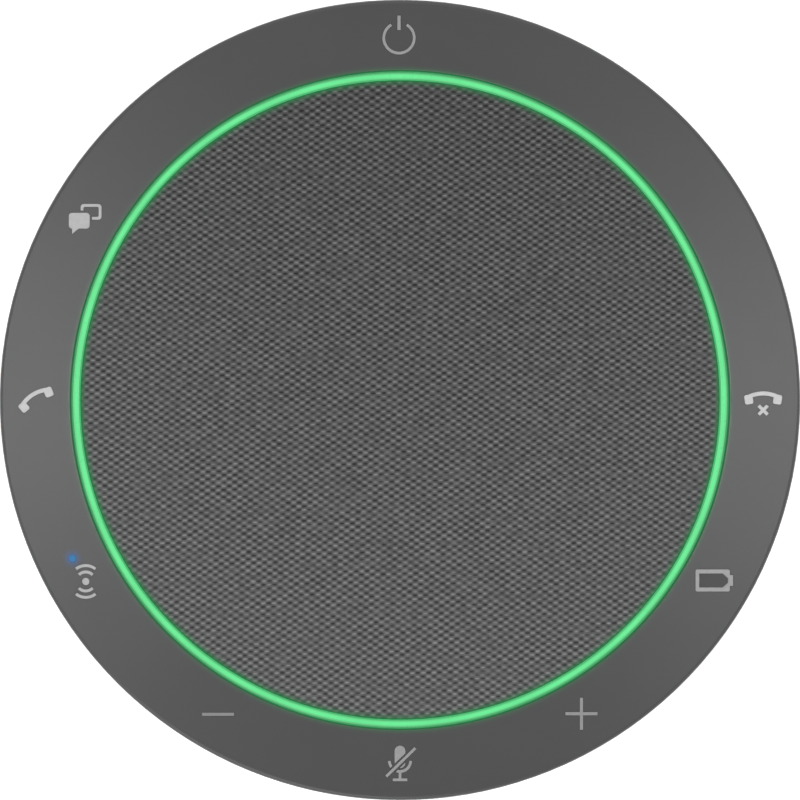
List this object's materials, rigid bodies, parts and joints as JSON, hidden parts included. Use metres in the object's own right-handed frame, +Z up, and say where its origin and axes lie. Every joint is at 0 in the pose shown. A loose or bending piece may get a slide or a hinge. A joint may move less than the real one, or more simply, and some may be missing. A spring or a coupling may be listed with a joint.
{
  "type": "conference speakerphone",
  "caption": "Round puck speakerphone with a cloth grille over one driver, a green light ring, and soft-skinned keys with plain symbols round the rim.",
  "frame": {"origin": "on the table under the centre of the puck, in the plane that its foot ring stands on", "axes": "+Z up through the grille, -Y towards the user and the mute key, +Y towards the power key and the charging socket, +X to the user's right"},
  "size_m": [0.122, 0.122, 0.0335],
  "materials": {
    "skin": "satin soft-touch silicone",
    "legend": "translucent light grey, satin",
    "status_light": "blue light guide",
    "light_guide": "frosted light guide, lit green",
    "grille_cloth": "plain-weave polyester in two greys",
    "upper_shell": "fine spark texture",
    "lower_shell": "spark texture",
    "key_plastic": "satin",
    "seal_rubber": "matte",
    "foot_rubber": "matte, slightly tacky",
    "label_sheet": "printed film without print",
    "inner_plastic": "glass-filled moulding",
    "grille_metal": "perforated steel, black coat",
    "circuit_board": "solder mask on glass laminate",
    "chip": "epoxy package",
    "connector": "ivory nylon",
    "lamp": "clear epoxy lamp",
    "snap_metal": "spring steel",
    "screw_steel": "zinc plated",
    "socket_metal": "nickel plated shell",
    "driver_frame": "black coated pressed steel",
    "driver_steel": "zinc plated",
    "magnet": "sintered ferrite",
    "cone_paper": "coated pulp",
    "surround_rubber": "smooth",
    "spider_cloth": "resin-treated cotton",
    "coil_copper": "lacquered copper winding on a former",
    "ribbon": "polyimide flex",
    "cell_wrap": "laminated pouch",
    "wire": "insulated lead"
  },
  "bodies": {
    "housing": {"baffle_screws": "screw_steel", "battery_cell": "cell_wrap", "battery_leads": "wire", "battery_tray": "inner_plastic", "board_chips": "chip", "board_connectors": "connector", "board_screws": "screw_steel", "driver_basket": "driver_frame", "driver_gasket": "seal_rubber", "driver_magnet": "magnet", "driver_screws": "screw_steel", "driver_spider": "spider_cloth", "driver_surround": "surround_rubber", "driver_top_plate": "driver_steel", "driver_yoke": "driver_steel", "foot_ring": "foot_rubber", "grille_fabric": "grille_cloth", "grille_plate": "grille_metal", "housing_screws": "screw_steel", "housing_seal": "seal_rubber", "key_board": "circuit_board", "key_skin": "skin", "light_ring": "light_guide", "lower_housing": "lower_shell", "main_board": "circuit_board", "mic_boots": "seal_rubber", "mic_capsules": "socket_metal", "rating_plate": "label_sheet", "ribbon_cable": "ribbon", "ring_leds": "lamp", "speaker_baffle": "inner_plastic", "speaker_chamber": "inner_plastic", "speaker_leads": "wire", "switch_domes": "snap_metal", "upper_housing": "upper_shell", "usb_shell": "socket_metal", "usb_tongue": "chip"},
    "key_power": {"key_power": "key_plastic", "legend_power": "legend"},
    "key_meeting": {"key_meeting": "key_plastic", "legend_meeting": "legend"},
    "key_answer": {"key_answer": "key_plastic", "legend_answer": "legend"},
    "key_wireless": {"key_wireless": "key_plastic", "legend_wireless": "legend", "status_lens": "status_light"},
    "key_volume_down": {"key_volume_down": "key_plastic", "legend_volume_down": "legend"},
    "key_mute": {"key_mute": "key_plastic", "legend_mute": "legend"},
    "key_volume_up": {"key_volume_up": "key_plastic", "legend_volume_up": "legend"},
    "key_battery": {"key_battery": "key_plastic", "legend_battery": "legend"},
    "key_end_call": {"key_end_call": "key_plastic", "legend_end_call": "legend"},
    "diaphragm": {"driver_cone": "cone_paper", "driver_dust_cap": "cone_paper", "voice_coil": "coil_copper"}
  },
  "joints": [
    {"name": "press_power", "type": "slide", "parent": "housing", "child": "key_power", "axis": [0, 0, -1], "range_m": [0, 0.0003], "stiffness_N_per_m": 600, "springref_m": -0.002, "deforming": ["switch_domes"]},
    {"name": "press_meeting", "type": "slide", "parent": "housing", "child": "key_meeting", "axis": [0, 0, -1], "range_m": [0, 0.0003], "stiffness_N_per_m": 600, "springref_m": -0.002, "deforming": ["switch_domes"]},
    {"name": "press_answer", "type": "slide", "parent": "housing", "child": "key_answer", "axis": [0, 0, -1], "range_m": [0, 0.0003], "stiffness_N_per_m": 600, "springref_m": -0.002, "deforming": ["switch_domes"]},
    {"name": "press_wireless", "type": "slide", "parent": "housing", "child": "key_wireless", "axis": [0, 0, -1], "range_m": [0, 0.0003], "stiffness_N_per_m": 600, "springref_m": -0.002, "deforming": ["switch_domes"]},
    {"name": "press_volume_down", "type": "slide", "parent": "housing", "child": "key_volume_down", "axis": [0, 0, -1], "range_m": [0, 0.0003], "stiffness_N_per_m": 600, "springref_m": -0.002, "deforming": ["switch_domes"]},
    {"name": "press_mute", "type": "slide", "parent": "housing", "child": "key_mute", "axis": [0, 0, -1], "range_m": [0, 0.0003], "stiffness_N_per_m": 600, "springref_m": -0.002, "deforming": ["switch_domes"]},
    {"name": "press_volume_up", "type": "slide", "parent": "housing", "child": "key_volume_up", "axis": [0, 0, -1], "range_m": [0, 0.0003], "stiffness_N_per_m": 600, "springref_m": -0.002, "deforming": ["switch_domes"]},
    {"name": "press_battery", "type": "slide", "parent": "housing", "child": "key_battery", "axis": [0, 0, -1], "range_m": [0, 0.0003], "stiffness_N_per_m": 600, "springref_m": -0.002, "deforming": ["switch_domes"]},
    {"name": "press_end_call", "type": "slide", "parent": "housing", "child": "key_end_call", "axis": [0, 0, -1], "range_m": [0, 0.0003], "stiffness_N_per_m": 600, "springref_m": -0.002, "deforming": ["switch_domes"]},
    {"name": "diaphragm_travel", "type": "slide", "parent": "housing", "child": "diaphragm", "axis": [0, 0, 1], "range_m": [-0.0015, 0.0015], "stiffness_N_per_m": 1500, "deforming": ["driver_surround", "driver_spider"]}
  ]
}
